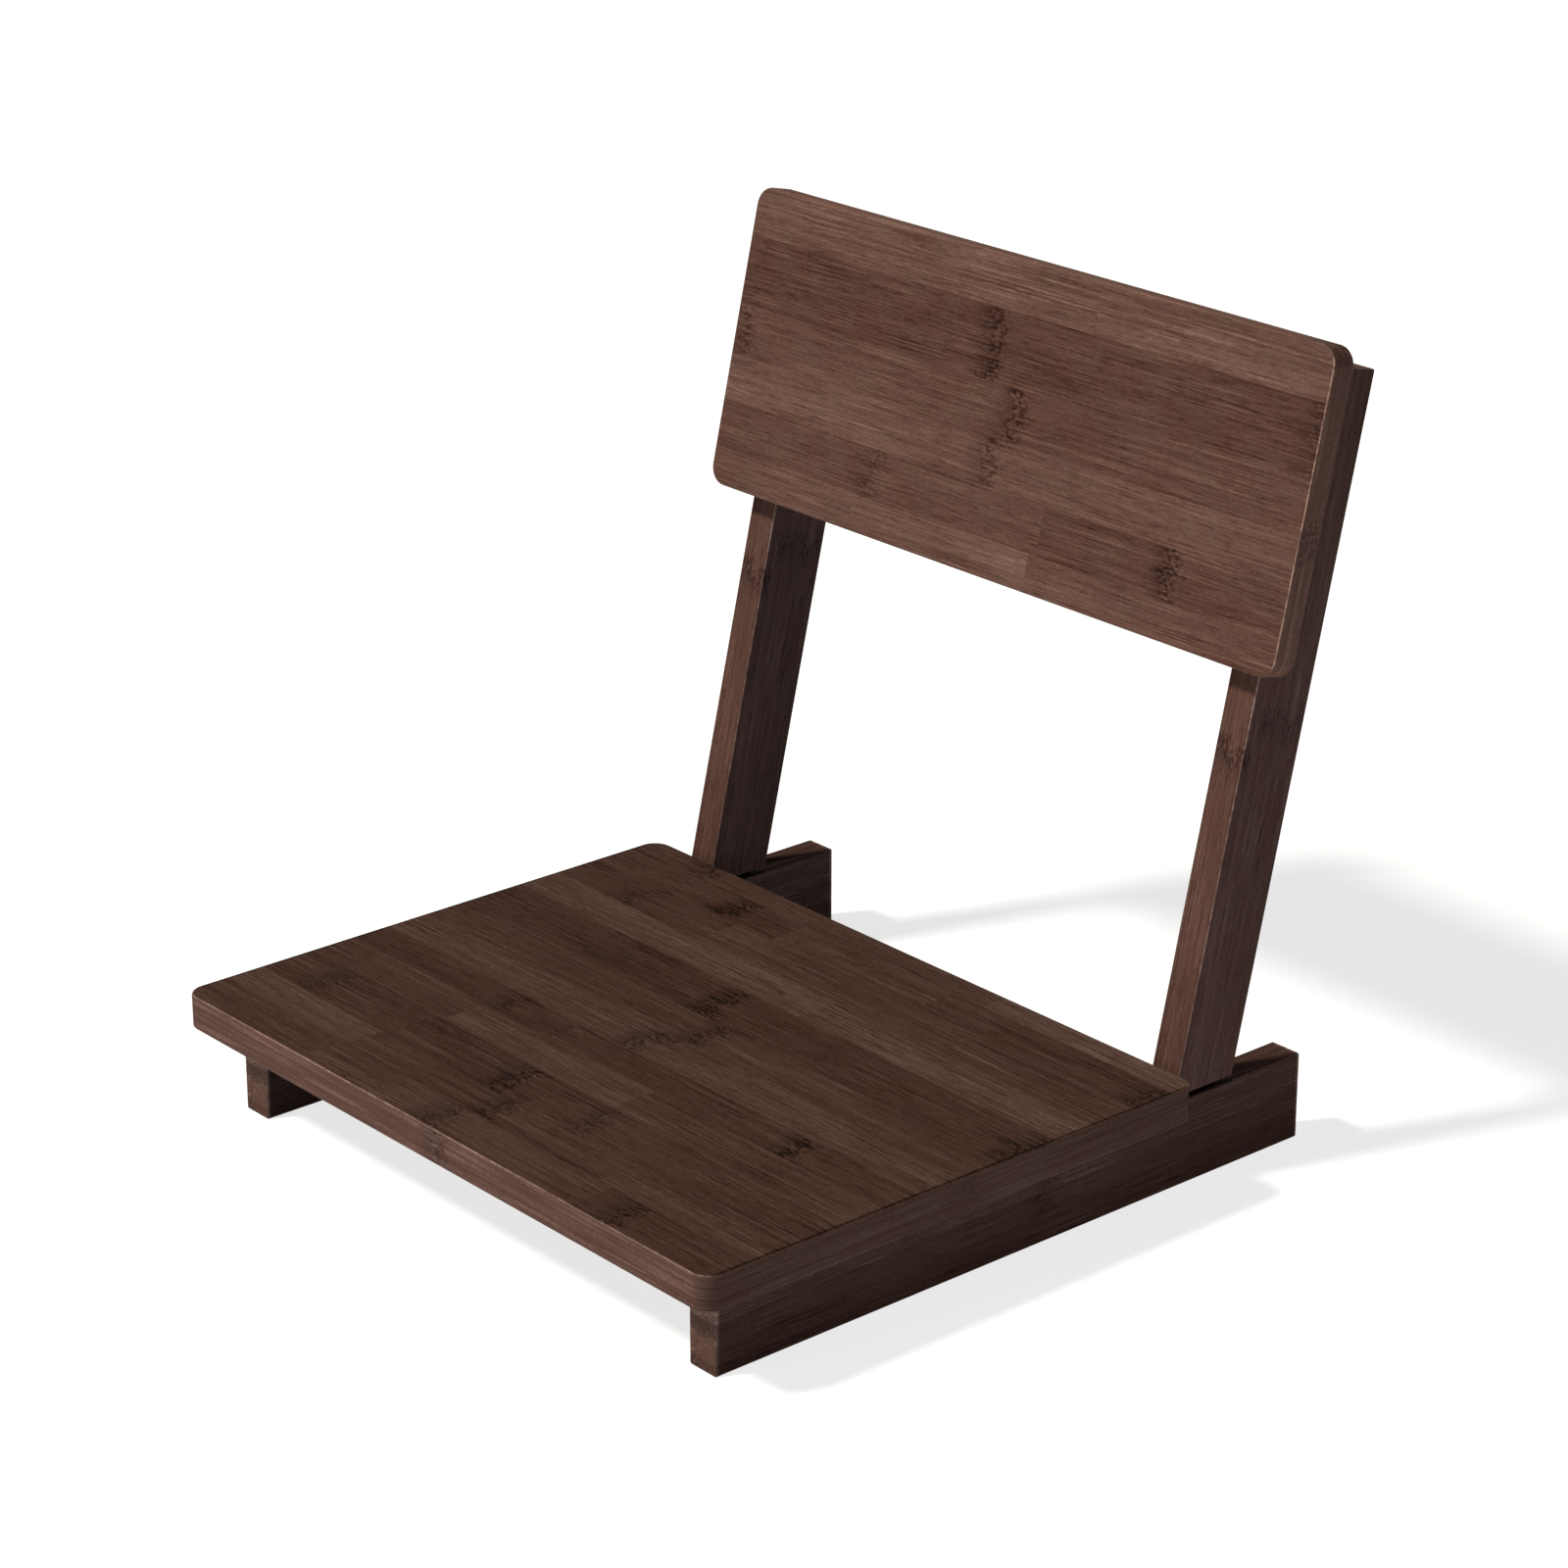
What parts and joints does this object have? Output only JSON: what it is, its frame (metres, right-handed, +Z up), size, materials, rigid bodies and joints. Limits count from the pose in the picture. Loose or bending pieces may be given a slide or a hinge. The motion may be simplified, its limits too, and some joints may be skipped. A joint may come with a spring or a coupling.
{
  "type": "floor chair",
  "caption": "Low legless floor chair of walnut-stained bamboo: flat seat on two floor rails, and a leaning backrest whose uprights plug into the rails and lift out.",
  "frame": {"origin": "on the floor, under the middle of the chair's overall width and depth", "axes": "+X to the right as seen from the front, +Y from the seat's front edge to the backrest, +Z up"},
  "size_m": [0.401, 0.4211, 0.4065],
  "materials": {
    "seat_bamboo": "walnut-stained laminated bamboo, satin lacquer, grain across the seat",
    "backboard_bamboo": "walnut-stained laminated bamboo, satin lacquer, grain along the board",
    "rail_bamboo": "walnut-stained laminated bamboo, satin lacquer, grain along the rail",
    "upright_bamboo": "walnut-stained laminated bamboo, satin lacquer, grain along the upright",
    "zinc_screw": "bright zinc plate",
    "beech_dowel": "bare fluted beech"
  },
  "bodies": {
    "base": {"seat_board": "seat_bamboo", "rail_left": "rail_bamboo", "rail_right": "rail_bamboo", "seat_screw_left_front": "zinc_screw", "seat_screw_left_middle": "zinc_screw", "seat_screw_left_rear": "zinc_screw", "seat_screw_right_front": "zinc_screw", "seat_screw_right_middle": "zinc_screw", "seat_screw_right_rear": "zinc_screw", "seat_dowel_left_front": "beech_dowel", "seat_dowel_left_rear": "beech_dowel", "seat_dowel_right_front": "beech_dowel", "seat_dowel_right_rear": "beech_dowel"},
    "backrest": {"upright_left": "upright_bamboo", "upright_right": "upright_bamboo", "backboard": "backboard_bamboo", "back_screw_left_lower": "zinc_screw", "back_screw_left_upper": "zinc_screw", "back_screw_right_lower": "zinc_screw", "back_screw_right_upper": "zinc_screw", "back_dowel_left": "beech_dowel", "back_dowel_right": "beech_dowel"}
  },
  "joints": [
    {"name": "backrest_lift", "type": "slide", "parent": "base", "child": "backrest", "axis": [0, 0.225, 0.9744], "range_m": [0, 0.04]}
  ]
}
